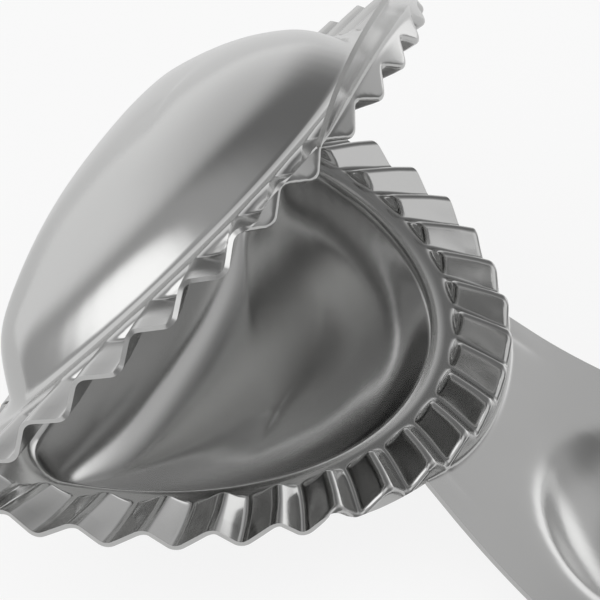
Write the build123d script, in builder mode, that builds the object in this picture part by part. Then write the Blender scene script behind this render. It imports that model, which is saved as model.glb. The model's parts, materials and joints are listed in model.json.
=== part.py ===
from build123d import *
from math import asin, atan2, cos, degrees, hypot, radians, sin, sqrt, tan
import os

# A half-moon press for filled dough: two stamped sheet shells on one wire hinge.
# Each shell is first made in its own frame: origin on the hinge line at the middle
# of the rim, +Y towards its handle, +Z towards the other shell, and z = 0 on the
# flat shoulder round the bowl. The shells are then placed on the hinge.

# Driving dimensions, in millimetres and degrees
sheet = 0.6
rim_radius = 55.0

flute_inner_radius = 47.0
flute_pitch = 8.8
flute_slant = 4.7
flute_offset = 0.1
flute_height = 2.3
flute_inner_height = 1.8
flute_bend = 0.9
flute_spread = 92.0
closed_spread = 36.0

bowl_radius = 43.4
bowl_depth = 15.1
floor_flat = 13.2
floor_arc = 24.0
wall_angle = 83.0
hinge_wall = 4.6
crease_radius = 6.0
shoulder_bend = 2.4

handle_length = 46.8
handle_root = 41.8
handle_waist = 51.4
handle_waist_at = 11.0
handle_width = 60.6
handle_wide_at = 29.0
handle_step = 2.4
handle_slope = 28.6
dish_from_rim = 26.0
dish_bend = 32.0
dish_swing = 50.0
dish_width = 37.0
hem_depth = 0.9

mating_gap = 0.4
pin_fit = 0.05
edge_gap = 0.3
knuckle_length = 14.0
knuckle_gap = 0.3
knuckle_opening = 60.0
lower_knuckles = (-2, 0, 2)
upper_knuckles = (-1, 1)
pin_head = 0.6
pin_head_lip = 0.5
pin_end_gap = 0.3

rest_opening = 53.5
base_to_hinge = 12.0

# Hinge sizes: the pin lies half way between the two shoulders
hinge_height = (flute_inner_height + mating_gap) / 2
pin_radius = hinge_height - pin_fit
barrel_radius = hinge_height + sheet
straight_edge = barrel_radius + edge_gap
knuckle_pitch = knuckle_length + knuckle_gap

# Heights in the shell's frame
flute_middle = flute_inner_height / 2
handle_radius = handle_length / sin(radians(handle_slope))
outer_bottom = -bowl_depth - sheet
block_bottom = outer_bottom - sheet


def bowl_radii():
    """Radii of the floor's wide arc and the corner's arc, which meet the wall at the rim."""
    floor_turn, wall_turn = radians(floor_arc), radians(wall_angle)
    reach = bowl_radius - floor_flat
    a, b = sin(floor_turn), sin(wall_turn) - sin(floor_turn)
    c, d = 1 - cos(floor_turn), cos(floor_turn) - cos(wall_turn)
    scale = a * d - b * c
    return (reach * d - b * bowl_depth) / scale, (a * bowl_depth - reach * c) / scale


floor_radius, corner_radius = bowl_radii()


def bowl_form(wall):
    """The bowl as a solid, as deep as its inside plus a wall."""
    with BuildPart() as form:
        with BuildSketch(Plane.XZ):
            with BuildLine():
                flat = Line((0, -bowl_depth - wall), (floor_flat, -bowl_depth - wall))
                floor = JernArc(flat @ 1, (1, 0), floor_radius + wall, floor_arc)
                corner = JernArc(floor @ 1, floor % 1, corner_radius + wall, wall_angle - floor_arc)
                Polyline(corner @ 1, (0, (corner @ 1).Y), flat @ 0)
            make_face()
        revolve(axis=Axis.Z)
        lean = radians(90 - wall_angle)
        hinge_side = Plane((0, hinge_wall - wall / cos(lean), 0), x_dir=(1, 0, 0),
                           z_dir=(0, cos(lean), sin(lean)))
        split(bisect_by=hinge_side, keep=Keep.TOP)
        cut_face = form.faces().filter_by(GeomType.PLANE).sort_by(Axis.Y)[0]
        fillet(cut_face.edges().sort_by(Axis.Z)[:-1], radius=crease_radius + wall)
    return form.part


def flute_block(offset, start_radius, end_radius, bottom):
    """One flute's space under a skin that lies offset above the middle of its sheet."""
    with BuildPart() as block:
        for radius in (start_radius, end_radius):
            inward = (rim_radius - radius) / (rim_radius - flute_inner_radius)
            turn = radians(90 + flute_slant * inward)
            height = flute_height + (flute_inner_height - flute_height) * inward
            half_width = radius * tan(radians(flute_pitch / 2))
            start_z = flute_middle - height / 2 - sheet / 2 + offset
            bend_sum = 2 * flute_bend
            slope = asin(bend_sum / hypot(half_width, bend_sum - height))
            slope -= atan2(bend_sum - height, half_width)
            flank = (half_width - bend_sum * sin(slope)) / cos(slope)
            slope = degrees(slope)
            where = Plane((radius * cos(turn), radius * sin(turn), 0),
                          x_dir=(-sin(turn), cos(turn), 0), z_dir=(cos(turn), sin(turn), 0))
            with BuildSketch(where):
                with BuildLine():
                    dip = JernArc((-half_width, start_z), (1, 0), flute_bend - offset, slope)
                    rise = PolarLine(dip @ 1, flank, slope)
                    crest = JernArc(rise @ 1, rise % 1, flute_bend + offset, -2 * slope)
                    fall = PolarLine(crest @ 1, flank, -slope)
                    end = JernArc(fall @ 1, fall % 1, flute_bend - offset, slope)
                    Polyline(end @ 1, (half_width, bottom), (-half_width, bottom), dip @ 0)
                make_face()
        loft(ruled=True)
    return block.part


def half_disc(radius):
    """A disc cut off along the shell's straight edge."""
    with BuildSketch() as disc:
        Circle(radius)
        with Locations((0, straight_edge)):
            Rectangle(2 * radius, radius, align=(Align.CENTER, Align.MIN), mode=Mode.INTERSECT)
    return disc.sketch


def flute_turns(shift):
    """Angles of the flutes' middles from the handle's axis, shift pitches off it."""
    count = int(flute_spread / flute_pitch)
    turns = [(number + shift) * flute_pitch for number in range(-count - 1, count + 1)]
    return [turn for turn in turns if abs(turn) <= flute_spread]


def flute_ring(shift):
    """The ring of flutes round the rim, closed at its outer end beside the handle."""
    turns = flute_turns(shift)
    over = rim_radius + 2 * sheet
    inner_end = flute_inner_radius + sheet
    outside = flute_block(sheet / 2, flute_inner_radius, over, -hem_depth)
    inside = flute_block(-sheet / 2, inner_end, over, -2 * hem_depth)
    with BuildPart() as closed_inside:
        add(inside)
        with BuildSketch(Plane.XY.offset(-3 * hem_depth)):
            Circle(rim_radius - sheet)
        extrude(amount=6 * hem_depth, mode=Mode.INTERSECT)
    with BuildPart() as ring:
        for turn in turns:
            add(outside.rotate(Axis.Z, turn))
        with BuildSketch(Plane.XY.offset(-2 * hem_depth)):
            add(half_disc(rim_radius))
        extrude(amount=6 * hem_depth, mode=Mode.INTERSECT)
        for turn in turns:
            hollow = closed_inside.part if abs(turn) <= closed_spread else inside
            add(hollow.rotate(Axis.Z, turn), mode=Mode.SUBTRACT)
        with BuildSketch(Plane.XY.offset(-sheet)):
            Circle(inner_end)
        extrude(amount=-hem_depth, mode=Mode.SUBTRACT)
    return ring.part


def handle_point(along, depth):
    """A point of the handle's long section, and its slope there."""
    slope = asin(sin(radians(handle_slope)) - along / handle_radius)
    drop = handle_radius * (cos(slope) - cos(radians(handle_slope)))
    foot = Vector(rim_radius + along, -handle_step - drop)
    return foot - Vector(sin(slope), cos(slope)) * depth, slope


def under_handle(depth):
    """All that lies under the handle's upper face by more than a depth."""
    top, slope = handle_point(0, depth)
    ahead = Vector(cos(slope), -sin(slope))
    with BuildPart() as under:
        with BuildSketch(Plane.YZ):
            with BuildLine():
                root = Line(top - ahead * handle_root / 4, top)
                bend = JernArc(top, ahead, handle_radius + depth, handle_slope)
                Polyline(bend @ 1, ((bend @ 1).X, block_bottom), ((root @ 0).X, block_bottom), root @ 0)
            make_face()
        extrude(amount=handle_width / 2 + sheet, both=True)
    return under.part


def dish_form(wall):
    """The thumb dish as a solid: an arc across the handle, swung along the handle."""
    foot, slope = handle_point(dish_from_rim, 0)
    centre = Vector(0, foot.X, dish_bend - bowl_depth)
    centre.Y += (centre.Z - foot.Y) * tan(slope)
    depth = dish_bend - (centre.Z - foot.Y) / cos(slope)
    across = (dish_width ** 2 / 4 + depth ** 2) / (2 * depth) + wall
    tilt = radians(dish_swing)
    start = Plane(origin=centre, x_dir=(1, 0, 0), z_dir=(0, -cos(tilt), sin(tilt)))
    reach = 0.7 * dish_width
    low = -dish_bend - wall
    edge = low + across - sqrt(across ** 2 - reach ** 2)
    with BuildPart() as dish:
        with BuildSketch(start):
            with BuildLine():
                ThreePointArc((-reach, edge), (0, low), (reach, edge))
                Polyline((reach, edge), (reach, 0), (-reach, 0), (-reach, edge))
            make_face()
        revolve(axis=Axis(centre, (1, 0, 0)), revolution_arc=2 * dish_swing)
    return dish.part


def handle():
    """The handle: a sheet that curves away from the rim, with a dish for the thumb."""
    root = Vector(handle_root / 2, sqrt(rim_radius ** 2 - handle_root ** 2 / 4) - sheet)
    waist = Vector(handle_waist / 2, rim_radius + handle_waist_at)
    wide = Vector(handle_width / 2, rim_radius + handle_wide_at)
    under = under_handle(sheet)
    with BuildPart() as below:
        add(under)
        add(dish_form(sheet), mode=Mode.SUBTRACT)
    with BuildPart() as outline:
        with BuildSketch(Plane.XY.offset(block_bottom)):
            with BuildLine():
                side = Spline(root, waist, wide, tangents=((0.15, 1), (0, 1)))
                EllipticalCenterArc((0, wide.Y), wide.X, handle_length - handle_wide_at, arc_size=180)
                mirror(side, about=Plane.YZ)
                Line(root, (-root.X, root.Y))
            make_face()
        extrude(amount=-block_bottom)
        with BuildSketch(Plane.XY.offset(block_bottom)):
            Circle(rim_radius - sheet)
        extrude(amount=-block_bottom, mode=Mode.SUBTRACT)
    with BuildPart() as wall:
        with BuildSketch(Plane.XY.offset(block_bottom)):
            Circle(rim_radius)
            Circle(rim_radius - sheet, mode=Mode.SUBTRACT)
            with Locations((0, rim_radius)):
                Rectangle(handle_root, rim_radius, mode=Mode.INTERSECT)
        extrude(amount=-block_bottom)
        add(under, mode=Mode.SUBTRACT)
    with BuildPart() as grip:
        add(under_handle(0))
        add(dish_form(0), mode=Mode.SUBTRACT)
        add(below.part, mode=Mode.SUBTRACT)
        add(outline.part, mode=Mode.INTERSECT)
        add(wall.part)
    return grip.part


def knuckle(number):
    """A knuckle rolled from the shell's straight edge round the hinge line."""
    with BuildPart() as roll:
        middle = number * knuckle_pitch
        with BuildSketch(Plane.YZ.offset(middle - knuckle_length / 2)):
            with Locations((0, hinge_height)):
                Circle(barrel_radius)
                Circle(hinge_height, mode=Mode.SUBTRACT)
            with BuildLine():
                reach = 2 * barrel_radius
                centre = Vector(0, hinge_height)
                far = [centre + Vector(reach, 0).rotate(Axis.Z, turn)
                       for turn in (-90, knuckle_opening / 2 - 90, knuckle_opening - 90)]
                Polyline(centre, *far, centre)
            make_face(mode=Mode.SUBTRACT)
            with Locations((0, -sheet)):
                Rectangle(straight_edge + sheet, sheet, align=(Align.MIN, Align.MIN))
        extrude(amount=knuckle_length)
    return roll.part


def pan():
    """The flat shoulder with the bowl drawn down through it, both bends rounded."""
    def mouth(height):
        edges = sheet_pan.edges().filter_by_position(Axis.Z, height - edge_gap, height + edge_gap)
        inside = [edge for edge in edges if edge.bounding_box().max.Y < bowl_radius + shoulder_bend]
        return [edge for edge in inside if edge.bounding_box().min.Y > straight_edge + edge_gap]

    with BuildPart() as sheet_pan:
        with BuildSketch(Plane.XY.offset(-sheet)):
            add(half_disc(flute_inner_radius + sheet / 2))
        extrude(amount=sheet)
        add(bowl_form(sheet))
        fillet(mouth(-sheet), radius=shoulder_bend - sheet)
        add(bowl_form(0), mode=Mode.SUBTRACT)
        fillet(mouth(0), radius=shoulder_bend)
    return sheet_pan.part


def shell(shift, mirrored, knuckles):
    """One stamped half: bowl, shoulder, flutes, handle and knuckles, in its own frame."""
    ring = flute_ring(shift)
    with BuildPart() as half:
        add(pan())
        add(ring.mirror(Plane.YZ) if mirrored else ring)
        add(handle())
        for number in knuckles:
            add(knuckle(number))
    return half.part


# Placed as the press stands: base down, lower handle towards -Y, upper half open
lower_place = Location((0, base_to_hinge, -outer_bottom), (0, 0, 180))
hinge_line = Location((0, 0, hinge_height))
upper_place = lower_place * hinge_line * Location((0, 0, 0), (rest_opening, 0, 0))
upper_place = upper_place * Location((0, 0, hinge_height), (0, 180, 0))

with BuildPart() as lower_shell:
    with Locations(lower_place):
        add(shell(0.5 + flute_offset, False, lower_knuckles))

with BuildPart() as upper_shell:
    with Locations(upper_place):
        add(shell(flute_offset, True, upper_knuckles))

pin_half = (knuckle_pitch * (lower_knuckles[-1] - lower_knuckles[0]) + knuckle_length) / 2 + pin_end_gap
with BuildPart() as hinge_pin:
    with Locations(lower_place * hinge_line):
        Cylinder(pin_radius, 2 * pin_half, rotation=(0, 90, 0))
        for side in (-1, 1):
            with Locations((side * (pin_half + pin_head / 2), 0, 0)):
                Cylinder(pin_radius + pin_head_lip, pin_head, rotation=(0, 90, 0))
    heads = hinge_pin.edges().filter_by(GeomType.CIRCLE).sort_by(Axis.X)
    fillet([heads[0], heads[-1]], radius=pin_head / 2)

os.makedirs("parts", exist_ok=True)
for piece, name in ((lower_shell, "lower_shell"), (upper_shell, "upper_shell"), (hinge_pin, "hinge_pin")):
    piece.part.label = name
    export_step(piece.part, f"parts/{name}.step")
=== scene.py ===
import json
from collections import namedtuple
from math import acos, atan2, cos, hypot, pi, radians, sin, sqrt, tan

import bmesh
import bpy
from mathutils import Euler, Matrix, Vector


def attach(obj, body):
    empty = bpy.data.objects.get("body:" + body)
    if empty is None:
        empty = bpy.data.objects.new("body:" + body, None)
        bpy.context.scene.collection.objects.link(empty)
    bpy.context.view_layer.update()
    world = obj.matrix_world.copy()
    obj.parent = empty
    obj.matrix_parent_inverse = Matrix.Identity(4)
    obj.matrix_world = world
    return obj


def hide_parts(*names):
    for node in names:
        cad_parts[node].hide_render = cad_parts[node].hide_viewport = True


bl_info = {
    "name": "Hinged Dough Press",
    "version": (1, 0, 0),
    "blender": (4, 5, 0),
    "location": "View3D > Sidebar > Dough Press",
    "description": "Models a half-moon dough press of two stamped sheet halves on a hinge pin",
    "category": "Object",
}

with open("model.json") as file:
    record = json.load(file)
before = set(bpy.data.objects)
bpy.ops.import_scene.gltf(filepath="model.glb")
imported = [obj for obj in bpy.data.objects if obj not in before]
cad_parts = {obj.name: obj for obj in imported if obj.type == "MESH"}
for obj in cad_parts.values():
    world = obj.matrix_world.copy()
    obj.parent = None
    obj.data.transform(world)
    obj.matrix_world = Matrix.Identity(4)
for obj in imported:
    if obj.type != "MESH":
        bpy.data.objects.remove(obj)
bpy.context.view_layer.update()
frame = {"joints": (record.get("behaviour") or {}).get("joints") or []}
hinge = frame["joints"][0]
hinge_place = Vector(hinge["pos_m"])

MM = 0.001
FLUTES = 22
TOUCHING = 1e-6  # places nearer than this, in metres or radians, are the same

# The turn of a D outline's corner and of its last columns, and where the corner stands
Corner = namedtuple("Corner", "x turn last_left last_right")

# A column's way from the shoulder to the edge: lists of pieces, and the flute's two heights
RimLine = namedtuple("RimLine", "step inner_z outer_z rolled fillet")


def length(name, millimetres, description):
    """A property for a length, given in millimetres and kept in metres."""
    return bpy.props.FloatProperty(name=name, description=description, default=millimetres * MM,
                                   min=0.0, precision=4, unit="LENGTH")


def angle(name, degrees, description):
    """A property for an angle, given in degrees and kept in radians."""
    return bpy.props.FloatProperty(name=name, description=description, default=radians(degrees),
                                   subtype="ANGLE")


def colour(name, value, description):
    """A property for a linear colour."""
    return bpy.props.FloatVectorProperty(name=name, description=description, default=value,
                                         size=3, min=0.0, max=1.0, subtype="COLOR")


class ShellSizes(bpy.types.PropertyGroup):
    """Sizes of one stamped half, in its own frame.

    Its origin is on the hinge's side at the middle of the rim, Y runs towards the handle,
    Z towards the other half, and Z is 0 on the flat shoulder round the bowl.
    """
    sheet: length("Sheet", 0.6, "Thickness of the sheet metal")
    rim: length("Rim", 54.85, "Radius of the half-round outer edge")
    hinge_height: length("Hinge height", 1.1, "Hinge line above the shoulder")
    straight_edge: length("Straight edge", 2.0, "From the hinge line to the edge of the sheet")

    bowl: length("Bowl", 43.2, "Radius of the bowl's mouth, before its edge is rounded")
    bowl_depth: length("Bowl depth", 15.1, "Depth of the bowl below the shoulder")
    floor_flat: length("Floor flat", 13.2, "Radius out to which the floor is flat")
    floor_arc: angle("Floor arc", 24.0, "Slope at which the floor turns into the wall's bend")
    wall_slope: angle("Wall slope", 83.0, "Steepness of the bowl's wall at its mouth")
    mouth: length("Mouth", 46.0, "Radius at which the bowl's rounded mouth begins")
    mouth_bend: length("Mouth bend", 3.4, "Radius of the bend from the shoulder into the bowl")
    edge_margin: length("Edge margin", 0.3, "Flat sheet left between the bowl and its straight edge")
    corner: length("Corner", 6.5, "Radius of the corners where the mouth meets its straight side")
    hinge_bend: length("Hinge bend", 2.4, "Radius of the bend from the straight edge into the bowl")
    hinge_slope: angle("Hinge slope", 77.0, "Steepness of the bowl's straight wall")
    crease: length("Crease", 10.0, "How widely the straight wall is blended into the floor")

    flute_start: length("Flute start", 46.3, "Radius at which the flutes begin to rise")
    flute_step: length("Flute step", 1.9, "Width of the wall at a flute's inner end")
    flute_pitch: angle("Flute pitch", 8.8, "Angle from one flute to the next")
    flute_slant: angle("Flute slant", 4.7, "Angle by which a flute's inner end is turned")
    flute_offset: bpy.props.FloatProperty(name="Flute offset", default=0.1, min=-0.5, max=0.5,
                                          description="Valley nearest the handle's axis, in pitches")
    flute_height: length("Flute height", 2.3, "Height of the flutes at the rim")
    flute_inner_height: length("Flute inner height", 1.8, "Height of the flutes at their inner end")
    ridge_bend: length("Ridge bend", 1.9, "Radius of a flute's ridge")
    valley_bend: length("Valley bend", 1.3, "Radius of the valley between two flutes")
    step_foot: length("Step foot", 0.8, "Radius at the foot of a flute's inner end")
    step_brow: length("Step brow", 1.0, "Radius at the top of a flute's inner end")

    roll_bend: length("Roll bend", 0.9, "Radius at which the rim turns down")
    roll_lead: length("Roll lead", 2.4, "Width of the rim's outermost rows")
    hem: length("Hem", 0.55, "How far the turned-down rim reaches below the shoulder")
    hem_spread: angle("Hem spread", 31.0, "Angle from the handle's axis at which the hem begins to fade")
    hem_end: angle("Hem end", 42.0, "Angle from the handle's axis at which the hem has gone")

    root_spread: angle("Handle root", 22.0, "Angle from the handle's axis to the side of its root")
    root_fillet: length("Root fillet", 1.6, "Radius between the rim's wall and the handle")
    root_side_fillet: length("Root side fillet", 0.7, "The same radius at the side of the root")
    handle_length: length("Handle length", 46.95, "From the rim to the handle's tip")
    handle_step: length("Handle step", 2.4, "Depth of the handle below the shoulder at the rim")
    handle_slope: angle("Handle slope", 28.6, "Slope of the handle at the rim")
    handle_width: length("Handle width", 60.6, "Width of the handle at its widest")
    handle_wide_at: length("Handle widest at", 29.15, "From the rim to where the handle is widest")
    dish_at: length("Dish place", 26.0, "From the rim to the middle of the thumb dish")
    dish_width: length("Dish width", 39.0, "Width of the thumb dish")
    dish_length: length("Dish length", 35.0, "Length of the thumb dish")
    dish_floor: length("Dish floor", 0.1, "Height of the dish's bottom above the bowl's")
    dish_brow: bpy.props.FloatProperty(name="Dish brow", default=0.2, min=0.001, max=1.0,
                                       description="How softly the dish's edge is rounded")

    knuckle: length("Knuckle", 14.0, "Length of a rolled knuckle")
    knuckle_gap: length("Knuckle gap", 0.3, "Gap between two knuckles")
    knuckle_turn: angle("Knuckle turn", 300.0, "How far the sheet is rolled round the pin")
    cut_edge: length("Cut edge", 0.1, "Width of the bevel on the sheet's cut edges")


class PinSizes(bpy.types.PropertyGroup):
    """Sizes of the hinge pin."""
    radius: length("Radius", 1.05, "Radius of the wire")
    half_span: length("Half span", 35.9, "From the middle to the inner face of a head")
    head_radius: length("Head radius", 1.55, "Radius of a peened head")
    head: length("Head", 0.6, "Thickness of a peened head")


class Finishes(bpy.types.PropertyGroup):
    """Colours of the sheet, the pin and the table."""
    steel: colour("Steel", (0.55, 0.55, 0.545), "Colour of the stamped sheet")
    wire: colour("Wire", (0.5, 0.5, 0.495), "Colour of the hinge pin")
    floor: colour("Floor", (0.9, 0.9, 0.9), "Colour of the table")


# Lines of the sheet's section ---------------------------------------------------------------


def walk(pieces, distance, at=(0.0, 0.0), heading=0.0):
    """Goes a distance along pieces, each a length and the angle it turns by."""
    across, up = at
    for piece, turn in pieces:
        part = min(distance, piece)
        if abs(turn) < 1e-6:
            across += part * cos(heading)
            up += part * sin(heading)
        else:
            bend = turn / piece
            across += (sin(heading + bend * part) - sin(heading)) / bend
            up -= (cos(heading + bend * part) - cos(heading)) / bend
            heading += bend * part
        distance -= part
        if distance <= 0:
            break
    return across, up


def step_slope(rise, foot, brow, steepest):
    """How steep a step of two bends gets, and the straight part between the bends."""
    bends = foot + brow
    full = bends * (1 - cos(steepest))
    if rise <= full:
        return acos(1 - rise / bends), 0.0
    return steepest, (rise - full) / sin(steepest)


def flute_section(sizes):
    """Half a flute from valley to ridge: shares of its width and of its height."""
    width = (sizes.rim - sizes.roll_lead) * sizes.flute_pitch / 2
    height = (sizes.flute_height + sizes.flute_inner_height) / 2
    bends = sizes.valley_bend + sizes.ridge_bend
    slope = 0.0
    for _ in range(40):
        flank = (width - bends * sin(slope)) / cos(slope)
        risen = bends * (1 - cos(slope)) + flank * sin(slope)
        slope += (height - risen) / (flank + bends)
    pieces = [(sizes.valley_bend * slope, slope), (flank, 0.0), (sizes.ridge_bend * slope, -slope)]
    marks = [pieces[0][0] * k / 3 for k in range(3)]
    marks += [pieces[0][0] + flank * k / 3 for k in range(3)]
    marks += [pieces[0][0] + flank + pieces[2][0] * k / 4 for k in range(5)]
    points = [walk(pieces, mark) for mark in marks]
    return [(across / width, up / height) for across, up in points]


class Column:
    """One line of vertices, from the middle of the bowl to an edge of the sheet."""

    def __init__(self, turn=0.0, slant=0.0, ridge=0.0, along=None):
        self.turn, self.inner_turn = turn, turn + slant
        self.ridge, self.along = ridge, along


def columns_of(sizes, valley_at, slant, seams):
    """The columns in order round the bowl: across the flutes, then along the hinge's side.

    A valley lies valley_at pitches off the handle's axis, and seams are the places along the
    hinge's side where the knuckles begin and end.
    """
    half = flute_section(sizes)
    flute = [(share / 2, ridge) for share, ridge in half[:-1]]
    flute += [(1 - share / 2, ridge) for share, ridge in reversed(half[1:])]
    first = valley_at - FLUTES // 2
    columns = []
    for number in range(FLUTES):
        columns += [Column((first + number + share) * sizes.flute_pitch, slant, ridge)
                    for share, ridge in flute]
    columns.append(Column((first + FLUTES) * sizes.flute_pitch, slant))
    return columns + [Column(along=place) for place in seams]


def corner_place(radius, straight, corner):
    """Where the middle of a D outline's corner arc stands."""
    y = straight + corner
    return sqrt((radius - corner) ** 2 - y ** 2), y


def outline_place(column, mouth, radius, straight, corner):
    """Where a column meets a D outline, given by its radius, straight side and corner.

    The mouth is the Corner of the outermost outline, which shares out the columns.
    """
    corner_x, corner_y = corner_place(radius, straight, corner)
    if column.along is not None:
        return column.along * corner_x / mouth.x, straight
    side = 1 if column.inner_turn > 0 else -1
    turn, arc = abs(column.inner_turn), atan2(corner_x, corner_y)
    if turn <= mouth.turn:
        turn *= arc / mouth.turn
        return -side * radius * sin(turn), radius * cos(turn)
    last = mouth.last_left if side > 0 else mouth.last_right
    turn = arc + (pi - arc) * (turn - mouth.turn) / (last - mouth.turn)
    return -side * (corner_x + corner * sin(turn)), corner_y + corner * cos(turn)


def bowl_outlines(sizes):
    """D outlines from the middle of the bowl to its mouth: radius, straight side and corner.

    They stand closer together towards the mouth, and their corners shrink as room runs out.
    """
    count, innermost, crowding, widest_corner = 48, 0.95, 1.7, 0.85
    straight = sizes.straight_edge + sizes.edge_margin
    half = (sizes.mouth - straight) / 2
    outlines = []
    for k in range(count, -1, -1):
        inward = innermost * half * (k / count) ** crowding
        room = widest_corner * (half - inward)
        corner = (sizes.corner ** -4 + room ** -4) ** -0.25
        outlines.append((sizes.mouth - inward, straight + inward, corner))
    return outlines


def bowl_profile(sizes):
    """Depth of a section of the bowl, as a function of the radius, with its mouth rounded."""
    depth, bend = sizes.bowl_depth, sizes.mouth_bend
    reach = sizes.bowl - sizes.floor_flat
    run, rise = sin(sizes.floor_arc), 1 - cos(sizes.floor_arc)
    wall_run, wall_rise = sin(sizes.wall_slope) - run, cos(sizes.floor_arc) - cos(sizes.wall_slope)
    scale = run * wall_rise - wall_run * rise
    wide = (reach * wall_rise - wall_run * depth) / scale
    tight = (run * depth - reach * rise) / scale
    tight_x = sizes.floor_flat + (wide - tight) * run
    tight_z = wide * rise + tight * cos(sizes.floor_arc) - depth
    bend_x = tight_x + sqrt((tight + bend) ** 2 - (bend + tight_z) ** 2)
    meeting = bend_x - bend * (bend_x - tight_x) / (tight + bend)

    def height(radius):
        if radius <= sizes.floor_flat:
            return -depth
        if radius <= sizes.floor_flat + wide * run:
            return wide - sqrt(wide ** 2 - (radius - sizes.floor_flat) ** 2) - depth
        if radius <= meeting:
            return tight_z - sqrt(tight ** 2 - (radius - tight_x) ** 2)
        return sqrt(bend ** 2 - min(0.0, radius - bend_x) ** 2) - bend

    return height, bend_x


def bowl_height(sizes, profile, radius, inside):
    """Height of the bowl at a radius and a distance inside its mouth.

    It is the higher of the bowl's round section and its hinge wall, blended.
    """
    height, mouth = profile
    round_z = height(radius + mouth - sizes.mouth)
    bend, slope = sizes.hinge_bend, sizes.hinge_slope
    if inside < bend * sin(slope):
        wall_z = sqrt(bend ** 2 - inside ** 2) - bend
    else:
        wall_z = bend * (cos(slope) - 1) - (inside - bend * sin(slope)) * tan(slope)
    blend = sizes.crease * min(1.0, round_z * wall_z / sizes.bowl_depth ** 2)
    return (round_z + wall_z + hypot(round_z - wall_z, blend)) / 2


# The handle ---------------------------------------------------------------------------------


def handle_section(sizes, y):
    """Height and slope of the handle's face at a distance from the hinge line."""
    bend = sizes.handle_length / sin(sizes.handle_slope)
    along = y - sizes.rim
    if along < 0:
        return -sizes.handle_step - along * tan(sizes.handle_slope), sizes.handle_slope
    slope = acos(sqrt(1 - max(0.0, sin(sizes.handle_slope) - along / bend) ** 2))
    return -sizes.handle_step - bend * (cos(slope) - cos(sizes.handle_slope)), slope


def handle_height(sizes, x, y):
    """Height of the handle's face, with the thumb dish pressed into it."""
    across = x / (sizes.dish_width / 2)
    along = (y - sizes.rim - sizes.dish_at) / (sizes.dish_length / 2)
    share = 1 - hypot(across, along) ** 2.5
    share = (share + hypot(share, sizes.dish_brow)) / 2
    face, floor = handle_section(sizes, y)[0], sizes.dish_floor - sizes.bowl_depth
    return face + (floor - face) * share


def handle_outline(sizes, root):
    """Points close together along one side of the handle, from its root to its tip."""
    half, wide_y = sizes.handle_width / 2, sizes.rim + sizes.handle_wide_at
    tip, reach = sizes.rim + sizes.handle_length, wide_y - root.y
    bends = [root, Vector((0.8 * half, root.y + 0.38 * reach)),
             Vector((0.94 * half, wide_y - 0.3 * reach)), Vector((half, wide_y))]
    count, points = 120, []
    for k in range(count):
        t = k / count
        weights = ((1 - t) ** 3, 3 * t * (1 - t) ** 2, 3 * t * t * (1 - t), t ** 3)
        points.append(sum((w * bend for w, bend in zip(weights, bends)), Vector((0, 0))))
    for k in range(count + 1):
        turned = pi / 2 * k / count
        points.append(Vector((half * cos(turned), wide_y + (tip - wide_y) * sin(turned))))
    return points


def along_line(points, share):
    """The point a share of the way along a line of points."""
    lengths = [(b - a).length for a, b in zip(points, points[1:])]
    left = share * sum(lengths)
    for a, b, piece in zip(points, points[1:], lengths):
        if left <= piece:
            return a.lerp(b, left / piece)
        left -= piece
    return points[-1].copy()


# Building the mesh --------------------------------------------------------------------------

STEEPEST_STEP = radians(76)
LEAST_FILLET = 0.1  # the least angle, in radians, that the fillet onto the handle turns by
BOWL_SMOOTHING = 50
STEP_ROWS, STRETCH_ROWS, ROLL_ROWS, FILLET_ROWS = 12, 3, 18, 6
HANDLE_ROWS, KNUCKLE_ROWS = 64, 30


def ease(low, high, value):
    """0 at low, 1 at high, and smooth between."""
    share = min(1.0, max(0.0, (value - low) / (high - low)))
    return share * share * (3 - 2 * share)


def grow(bm, row, places, closed=False):
    """Extrudes a row of vertices and moves the new row to its places."""
    pairs = list(zip(row, row[1:])) + ([(row[-1], row[0])] if closed else [])
    edges = [bm.edges.get(pair) for pair in pairs]
    made = bmesh.ops.extrude_edge_only(bm, edges=edges)["geom"]
    new = {part for part in made if isinstance(part, bmesh.types.BMVert)}
    grown = []
    for old, place in zip(row, places):
        ends = [edge.other_vert(old) for edge in old.link_edges]
        vertex = next(end for end in ends if end in new)
        vertex.co = place
        grown.append(vertex)
    return grown


def step_pieces(sizes, rise):
    """Pieces of the wall at a flute's inner end, from the shoulder up to the flute."""
    foot, brow = sizes.step_foot, sizes.step_brow
    slope, wall = step_slope(rise, foot, brow, STEEPEST_STEP)
    lead = (sizes.flute_step - (foot + brow) * sin(slope) - wall * cos(slope)) / 2
    return [(lead, 0.0), (foot * slope, slope), (wall, 0.0), (brow * slope, -slope), (lead, 0.0)]


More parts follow.
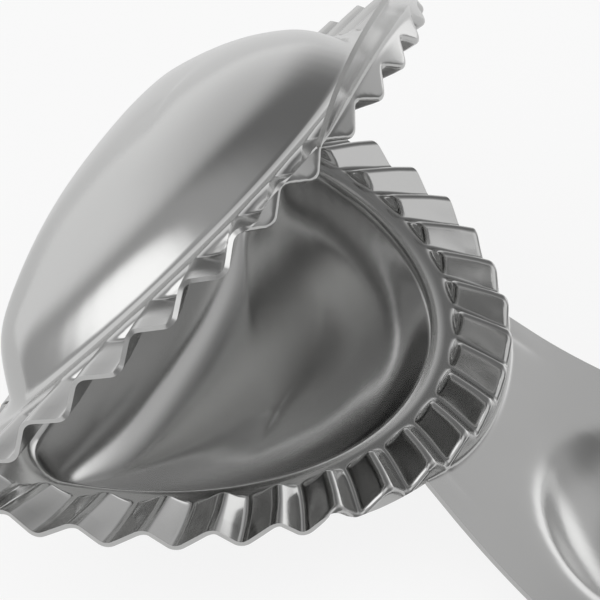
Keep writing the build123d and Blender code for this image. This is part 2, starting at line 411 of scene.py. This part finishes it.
def rim_line(sizes, column):
    """A column's way from the shoulder over the flute, down the rim and onto the handle."""
    turn = abs(column.turn)
    inner_z = sizes.flute_inner_height * column.ridge
    outer_z = sizes.flute_inner_height / 2 + sizes.flute_height * (column.ridge - 0.5)

    roll, fillet, resting = sizes.roll_bend, 0.0, 0.0
    if turn <= sizes.root_spread + TOUCHING:
        fillet = sizes.root_fillet
        fillet += (sizes.root_side_fillet - fillet) * ease(0.6, 1.0, turn / sizes.root_spread)
        foot_z, slope = handle_section(sizes, (sizes.rim + fillet / 2) * cos(turn))
        resting = atan2(sin(slope) * cos(turn), cos(slope))
        drop = outer_z - foot_z
    else:
        fade = 1 - ease(sizes.hem_spread, sizes.hem_end, turn)
        drop = fade * (outer_z + sizes.hem)
    full = roll + fillet * cos(resting)
    if drop < full:
        steepest = acos(max(-1.0, min(1.0, (full - drop) / (roll + fillet))))
        steepest, wall = max(steepest, resting + (LEAST_FILLET if fillet else 0.0)), 0.0
    else:
        steepest, wall = pi / 2, drop - full
    lead = sizes.roll_lead - roll * sin(steepest)
    rolled = [(lead, 0.0), (roll * steepest, -steepest), (wall, 0.0)]
    fillet_pieces = [(fillet * (steepest - resting), steepest - resting)]
    return RimLine(step_pieces(sizes, inner_z), inner_z, outer_z, rolled, fillet_pieces)


def grow_bowl(bm, sizes, columns, arc_count):
    """The bowl, from its middle to its mouth: its last row, and a face of its floor."""
    outlines, profile = bowl_outlines(sizes), bowl_profile(sizes)
    corner_x, corner_y = corner_place(*outlines[-1])
    mouth = Corner(corner_x, atan2(corner_x, corner_y), columns[arc_count - 1].inner_turn,
                   -columns[0].inner_turn)

    def outline(radius, straight, corner):
        places = [outline_place(column, mouth, radius, straight, corner) for column in columns]
        inside = sizes.mouth - radius
        return [Vector((x, y, bowl_height(sizes, profile, hypot(x, y), inside))) for x, y in places]

    bmesh.ops.create_circle(bm, cap_ends=True, segments=len(columns), radius=1.0)
    row = list(bm.verts)
    for vertex, spot in zip(row, outline(*outlines[0])):
        vertex.co = spot
    floor = bmesh.ops.poke(bm, faces=bm.faces[:])["faces"][0]
    for shape in outlines[1:]:
        row = grow(bm, row, outline(*shape), closed=True)
    soft = [vertex for vertex in bm.verts if vertex.co.z < -sizes.mouth_bend / 3]
    for _ in range(BOWL_SMOOTHING):
        bmesh.ops.smooth_vert(bm, verts=soft, factor=0.5, use_axis_x=True, use_axis_y=True,
                              use_axis_z=True)
    return row, floor


def grow_rim(bm, sizes, row, arcs, slant):
    """The flutes and the rolled rim, and below them the handle."""
    stretch_start = sizes.flute_start + sizes.flute_step
    stretch_end = sizes.rim - sizes.roll_lead
    lines = [rim_line(sizes, column) for column in arcs]

    def spot(column, radius, z):
        turn = column.turn + slant * max(0.0, sizes.rim - radius) / (sizes.rim - sizes.flute_start)
        return Vector((-radius * sin(turn), radius * cos(turn), z))

    def follow(row, count, ways):
        """Grows rows evenly along ways, each a column, its pieces, a start and a heading."""
        for k in range(1, count + 1):
            places = []
            for column, pieces, start, heading in ways:
                total = sum(piece for piece, _ in pieces)
                places.append(spot(column, *walk(pieces, total * k / count, start, heading)))
            row = grow(bm, row, places)
        return row

    row = follow(row, STEP_ROWS, [(column, line.step, (sizes.flute_start, 0.0), 0.0)
                                  for column, line in zip(arcs, lines)])
    for k in range(1, STRETCH_ROWS + 1):
        share = k / STRETCH_ROWS
        radius = stretch_start + (stretch_end - stretch_start) * share
        row = grow(bm, row, [spot(column, radius, line.inner_z + (line.outer_z - line.inner_z) * share)
                             for column, line in zip(arcs, lines)])
    row = follow(row, ROLL_ROWS, [(column, line.rolled, (stretch_end, line.outer_z), 0.0)
                                  for column, line in zip(arcs, lines)])

    root, ways = [], []
    for vertex, column, line in zip(row, arcs, lines):
        if abs(column.turn) <= sizes.root_spread + TOUCHING:
            total = sum(piece for piece, _ in line.rolled)
            heading = sum(turn for _, turn in line.rolled)
            start = walk(line.rolled, total, (stretch_end, line.outer_z))
            root.append(vertex)
            ways.append((column, line.fillet, start, heading))
    root = follow(root, FILLET_ROWS, ways)
    grow_handle(bm, sizes, root, [column.turn for column, *_ in ways])


def shell_mesh(name, sizes, place, valley_at, slant, knuckles):
    """A stamped half as one sheet without thickness, its faces towards the other half."""
    pitch = sizes.knuckle + sizes.knuckle_gap
    seams = [side * (k * pitch + half * sizes.knuckle / 2)
             for side in (-1, 1) for k in (0, 1, 2) for half in (-1, -0.5, 0, 0.5, 1)]
    seams = sorted({round(seam, 6) for seam in seams})
    columns = columns_of(sizes, valley_at, slant, seams)
    arcs = columns[:-len(seams)]

    bm = bmesh.new()
    row, floor = grow_bowl(bm, sizes, columns, len(arcs))
    places = [Vector((-sizes.flute_start * sin(column.inner_turn),
                      sizes.flute_start * cos(column.inner_turn), 0.0)) for column in arcs]
    places += [Vector((seam, 0.0, 0.0)) for seam in seams]
    row = grow(bm, row, places, closed=True)
    grow_rim(bm, sizes, row[:len(arcs)], arcs, slant)

    bmesh.ops.bisect_plane(bm, geom=bm.verts[:] + bm.edges[:] + bm.faces[:], dist=1e-7,
                           plane_co=(0, sizes.straight_edge, 0), plane_no=(0, -1, 0),
                           clear_outer=True)
    bmesh.ops.remove_doubles(bm, verts=bm.verts[:], dist=TOUCHING)
    for number in knuckles:
        roll_knuckle(bm, sizes, number * pitch)
    if floor.normal.z < 0:
        bmesh.ops.reverse_faces(bm, faces=bm.faces[:])
    bmesh.ops.transform(bm, matrix=place, verts=bm.verts[:])
    return piece_of(name, bm)


def grow_handle(bm, sizes, row, turns):
    """The handle, spread between its root, its two sides and its rounded end."""
    shares = [turn / (max(turns) if turn > 0 else -min(turns)) for turn in turns]
    right = min(range(len(row)), key=lambda k: shares[k])
    root = [Vector(vertex.co) for vertex in row]
    corner = Vector((abs(root[right].x), root[right].y))
    points = handle_outline(sizes, corner)
    side_part, crowding, settled = 0.62, 1.25, 0.15
    ends = []
    for share in shares:
        point = along_line(points, side_part + (1 - side_part) * (1 - abs(share)))
        ends.append(Vector((-point.x if share > 0 else point.x, point.y)))
    lift = [spot.z - handle_height(sizes, spot.x, spot.y) for spot in root]
    for k in range(1, HANDLE_ROWS + 1):
        v = (k / HANDLE_ROWS) ** crowding
        side = along_line(points, side_part * v)
        places = []
        for spot, end, share, rise in zip(root, ends, shares, lift):
            flat = Vector((spot.x, spot.y)).lerp(end, v)
            flat.x -= share * (side.x - (1 - v) * corner.x - v * ends[right].x)
            flat.y += side.y - (1 - v) * corner.y - v * ends[right].y
            z = handle_height(sizes, flat.x, flat.y) + rise * (1 - ease(0, settled, v))
            places.append(Vector((flat.x, flat.y, z)))
        row = grow(bm, row, places)


def roll_knuckle(bm, sizes, middle):
    """Grows a tab from the straight edge and rolls it round the hinge line."""
    half, start = sizes.knuckle / 2 + TOUCHING, sizes.straight_edge
    on_edge = [vertex for vertex in bm.verts if abs(vertex.co.y - start) < TOUCHING
               and abs(vertex.co.x - middle) < half]
    row = sorted(on_edge, key=lambda vertex: vertex.co.x)
    rolled = sizes.hinge_height * sizes.knuckle_turn
    pieces = [(start, 0.0), (rolled, sizes.knuckle_turn)]
    for k in range(KNUCKLE_ROWS + 1):
        across, up = walk(pieces, start + rolled * k / KNUCKLE_ROWS)
        row = grow(bm, row, [Vector((vertex.co.x, start - across, up)) for vertex in row])


def piece_of(name, bm):
    """An object of a finished bmesh, shaded smooth."""
    mesh = bpy.data.meshes.new(name)
    bm.to_mesh(mesh)
    bm.free()
    mesh.shade_smooth()
    piece = bpy.data.objects.new(name, mesh)
    bpy.context.scene.collection.objects.link(piece)
    return piece


def thicken(piece, sizes):
    """Gives a sheet its thickness on the far side of its faces, with bevelled cut edges."""
    wall = piece.modifiers.new("Sheet", "SOLIDIFY")
    wall.thickness, wall.offset = sizes.sheet, -1.0
    wall.use_even_offset = True
    wall.material_offset_rim = 1
    bevel = piece.modifiers.new("Cut edge", "BEVEL")
    bevel.width, bevel.segments = sizes.cut_edge, 2
    bevel.limit_method, bevel.angle_limit = "ANGLE", radians(60)
    bevel.harden_normals = True


# Finishes -----------------------------------------------------------------------------------


class Value:
    """A shader socket that adds Math nodes when it is calculated with."""

    def __init__(self, paint, socket):
        self.paint, self.socket = paint, socket

    def maths(self, operation, first, second):
        return self.paint.node("ShaderNodeMath", {"operation": operation}, {0: first, 1: second})

    def __add__(self, other):
        return self.maths("ADD", self, other)

    def __radd__(self, other):
        return self.maths("ADD", other, self)

    def __sub__(self, other):
        return self.maths("SUBTRACT", self, other)

    def __rsub__(self, other):
        return self.maths("SUBTRACT", other, self)

    def __mul__(self, other):
        return self.maths("MULTIPLY", self, other)

    def __rmul__(self, other):
        return self.maths("MULTIPLY", other, self)


class Paint:
    """The nodes of a material or world being made, with one method for every node."""

    def __init__(self, owner, shader="Principled BSDF"):
        owner.use_nodes = True
        self.owner, self.tree = owner, owner.node_tree
        self.shader = self.tree.nodes[shader]

    def node(self, kind, settings=None, inputs=None, output=0):
        made = self.tree.nodes.new(kind)
        for setting, value in (settings or {}).items():
            setattr(made, setting, value)
        for socket, value in (inputs or {}).items():
            self.put(made.inputs[socket], value)
        return Value(self, made.outputs[output])

    def put(self, socket, value):
        if isinstance(value, Value):
            self.tree.links.new(value.socket, socket)
        else:
            socket.default_value = value

    def set(self, **inputs):
        for socket, value in inputs.items():
            self.put(self.shader.inputs[socket.replace("_", " ")], value)


def steel_paint(name, colour, roughness, grain):
    """Satin stamped steel: a fine grain, a slightly uneven gloss and a faintly uneven tone."""
    if name in bpy.data.materials:
        return bpy.data.materials[name]
    paint = Paint(bpy.data.materials.new(name))
    place = paint.node("ShaderNodeTexCoord", output=3)
    cloud = paint.node("ShaderNodeTexNoise", inputs={"Vector": place, "Scale": 90.0, "Detail": 3.0})
    fine = paint.node("ShaderNodeTexNoise", inputs={"Vector": place, "Scale": 1400.0, "Detail": 2.0})
    tone = paint.node("ShaderNodeMix", {"data_type": "RGBA"},
                      {"Factor": cloud, "A": (*[c * 0.96 for c in colour], 1), "B": (*colour, 1)},
                      output=2)
    bump = paint.node("ShaderNodeBump", inputs={"Height": fine, "Strength": grain, "Distance": 0.000005})
    paint.set(Base_Color=tone, Metallic=1.0, Normal=bump,
              Roughness=roughness - 0.03 + 0.05 * cloud + 0.04 * fine)
    return paint.owner


# Operators ----------------------------------------------------------------------------------


class PieceMaker:
    """What the operators that make a piece share."""
    bl_options = {"REGISTER", "UNDO"}

    def make_half(self, context, name, node, opened, valley_at, slant, knuckles):
        """Makes a stamped half from its own frame, turned by opened on the hinge."""
        sizes, look = context.scene.press_shell, context.scene.press_finish
        place = Matrix.Translation(hinge_place) @ Matrix.Rotation(pi, 4, "Z") @ opened
        place = place @ Matrix.Translation((0, 0, -sizes.hinge_height))
        piece = shell_mesh(name, sizes, place, valley_at, slant, knuckles)
        thicken(piece, sizes)
        return self.finish_piece(piece, name, node, "shell_steel",
                                 steel_paint("Stamped steel", look.steel, 0.15, 0.1),
                                 steel_paint("Cut edge", look.steel, 0.2, 0.1))

    def finish_piece(self, piece, body, node, slot, *paints):
        for paint in paints:
            piece.data.materials.append(paint)
        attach(piece, body)
        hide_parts(node)
        return {"FINISHED"}


class PRESS_OT_lower_half(PieceMaker, bpy.types.Operator):
    """Model the lower stamped half."""
    bl_idname = "dough_press.lower_half"
    bl_label = "Lower half"

    def execute(self, context):
        sizes = context.scene.press_shell
        return self.make_half(context, "lower_half", "lower_shell", Matrix.Identity(4),
                              sizes.flute_offset, sizes.flute_slant, (-2, 0, 2))


class PRESS_OT_upper_half(PieceMaker, bpy.types.Operator):
    """Model the upper stamped half, as far open as it stands at rest."""
    bl_idname = "dough_press.upper_half"
    bl_label = "Upper half"

    def execute(self, context):
        sizes = context.scene.press_shell
        opening = radians(-hinge["range_deg"][0])
        opened = Matrix.Rotation(opening, 4, "X") @ Matrix.Rotation(pi, 4, "Y")
        return self.make_half(context, "upper_half", "upper_shell", opened,
                              0.5 - sizes.flute_offset, -sizes.flute_slant, (-1, 1))


class PRESS_OT_hinge_pin(PieceMaker, bpy.types.Operator):
    """Model the hinge pin with its peened heads."""
    bl_idname = "dough_press.hinge_pin"
    bl_label = "Hinge pin"

    def execute(self, context):
        sizes, look = context.scene.press_pin, context.scene.press_finish
        half, crown = sizes.half_span, 0.3
        domed = [(0.0, 0.0), (0.35, 0.02), (0.75, 0.18), (1.0, 0.5), (1.0, 0.8), (0.9, 1.0)]
        head = [((crown + (1 - crown) * share) * sizes.head_radius, half + sizes.head * (1 - depth))
                for share, depth in domed]
        stations = [(radius, -place) for radius, place in head]
        stations += [(sizes.radius, -half), (sizes.radius, half)] + head[::-1]

        bm = bmesh.new()
        bmesh.ops.create_circle(bm, cap_ends=True, segments=48, radius=sizes.radius * crown)
        row = list(bm.verts)
        for vertex in row:
            vertex.co.z = stations[0][1]
        for radius, place in stations[1:]:
            row = grow(bm, row, [Vector((*(vertex.co.xy.normalized() * radius), place))
                                 for vertex in row], closed=True)
        bmesh.ops.contextual_create(bm, geom=row)
        bmesh.ops.recalc_face_normals(bm, faces=bm.faces[:])
        turn = Matrix.Rotation(pi / 2, 4, "Y")
        bmesh.ops.transform(bm, matrix=Matrix.Translation(hinge_place) @ turn, verts=bm.verts[:])
        piece = piece_of("wire_pin", bm)
        return self.finish_piece(piece, "lower_half", "hinge_pin", "pin_steel",
                                 steel_paint("Wire", look.wire, 0.3, 0.2))


class PRESS_OT_stage(bpy.types.Operator):
    """Set up the table, the lights, the background and the camera."""
    bl_idname = "dough_press.stage"
    bl_label = "Stage"
    bl_options = {"REGISTER", "UNDO"}

    def execute(self, context):
        make_table(context.scene.press_finish)
        make_background(context)
        make_camera(context)
        return {"FINISHED"}


def is_shown(paint, mirrored):
    """1 for what the camera sees itself, less for what metal and glass show, 0 for light."""
    camera, glossy, through = (paint.node("ShaderNodeLightPath", output=kind) for kind in
                               ("Is Camera Ray", "Is Glossy Ray", "Is Transmission Ray"))
    return camera + mirrored * (glossy + through)


def make_table(look):
    """A pale table that looks white and keeps the shadow of what stands on it."""
    bm = bmesh.new()
    bmesh.ops.create_grid(bm, x_segments=1, y_segments=1, size=3.0)
    table = piece_of("table", bm)
    paint = Paint(bpy.data.materials.new("Table"))
    paint.set(Base_Color=(*look.floor, 1), Roughness=0.8, Specular_IOR_Level=0.0)
    white = paint.node("ShaderNodeEmission", inputs={"Color": (1, 1, 1, 1), "Strength": 1.0})
    mixed = paint.node("ShaderNodeMixShader", inputs={0: 0.86 * is_shown(paint, 0.6), 2: white})
    paint.tree.links.new(paint.shader.outputs[0], mixed.socket.node.inputs[1])
    paint.tree.links.new(mixed.socket, paint.tree.nodes["Material Output"].inputs["Surface"])
    table.data.materials.append(paint.owner)


def direction(azimuth, elevation):
    """A unit vector from angles in degrees."""
    azimuth, elevation = radians(azimuth), radians(elevation)
    return Vector((cos(azimuth) * cos(elevation), sin(azimuth) * cos(elevation), sin(elevation)))


ROOM_LEVEL = 0.42

# Where a glow is, how wide it is at full strength and in all, in degrees, and its strength
Glow = namedtuple("Glow", "azimuth elevation inner outer strength")

ROOM_GLOWS = (
    Glow(60, -10, 36, 66, 0.6),    # a wide pale wall behind the hinge
    Glow(158, 47, 20, 32, 1.4),    # the window
    Glow(-28, 24, 6, 26, 0.2),     # a faint light past the handle's side
    Glow(-20, 2, 8, 20, 0.9),      # a strip of light low down on the same side
    Glow(-95, 66, 14, 28, 0.5),    # a ceiling light above the handle
    Glow(-80, 15, 10, 34, -0.3),   # a dark doorway past the handle
    Glow(22, 40, 14, 42, -0.3),    # a dark corner high on the far side
    Glow(-150, 8, 10, 40, -0.2),   # a dark corner on the near side
)


def make_background(context):
    """White behind the object, and a soft room round it with a large window of light."""
    world = context.scene.world or bpy.data.worlds.new("Room")
    context.scene.world = world
    paint = Paint(world, "Background")
    toward = paint.node("ShaderNodeTexCoord")
    level = ROOM_LEVEL
    for glow in ROOM_GLOWS:
        nearness = paint.node("ShaderNodeVectorMath", {"operation": "DOT_PRODUCT"},
                              {0: toward, 1: direction(glow.azimuth, glow.elevation)}, output=1)
        shape = paint.node("ShaderNodeMapRange", {"interpolation_type": "SMOOTHSTEP"},
                           {"Value": nearness, "From Min": cos(radians(glow.outer)),
                            "From Max": cos(radians(glow.inner))})
        level = level + glow.strength * shape
    shown = is_shown(paint, 0.1)
    paint.set(Color=(1, 1, 1, 1), Strength=shown + (1 - shown) * level)


def make_camera(context):
    """A long lens that looks down past the open half at the flutes."""
    place = hinge_place + Vector((-277.46, -85.84, 203.1)) * MM
    turn = Euler([radians(turned) for turned in (54.566, -9.013, -71.429)])
    camera = bpy.data.objects.new("Camera", bpy.data.cameras.new("Camera"))
    context.scene.collection.objects.link(camera)
    camera.data.lens = 155.2
    camera.matrix_world = Matrix.LocRotScale(place, turn, None)
    context.scene.camera = camera


class PRESS_PT_panel(bpy.types.Panel):
    """The press's operators and sizes."""
    bl_label = "Dough Press"
    bl_space_type = "VIEW_3D"
    bl_region_type = "UI"
    bl_category = "Dough Press"

    def draw(self, context):
        for maker in MAKERS:
            self.layout.operator(maker.bl_idname)
        for name, group in GROUPS:
            for size in group.__annotations__:
                self.layout.prop(getattr(context.scene, name), size)


MAKERS = (PRESS_OT_lower_half, PRESS_OT_upper_half, PRESS_OT_hinge_pin, PRESS_OT_stage)
GROUPS = (("press_shell", ShellSizes), ("press_pin", PinSizes), ("press_finish", Finishes))


def register():
    for name, group in GROUPS:
        bpy.utils.register_class(group)
        setattr(bpy.types.Scene, name, bpy.props.PointerProperty(type=group))
    for maker in (*MAKERS, PRESS_PT_panel):
        bpy.utils.register_class(maker)


def unregister():
    for maker in reversed((*MAKERS, PRESS_PT_panel)):
        bpy.utils.unregister_class(maker)
    for name, group in reversed(GROUPS):
        delattr(bpy.types.Scene, name)
        bpy.utils.unregister_class(group)


def main():
    """Makes every piece and the stage."""
    register()
    bpy.ops.dough_press.lower_half()
    bpy.ops.dough_press.upper_half()
    bpy.ops.dough_press.hinge_pin()
    bpy.ops.dough_press.stage()
    bpy.context.scene.view_settings.view_transform = "Standard"


if __name__ == "__main__":
    main()
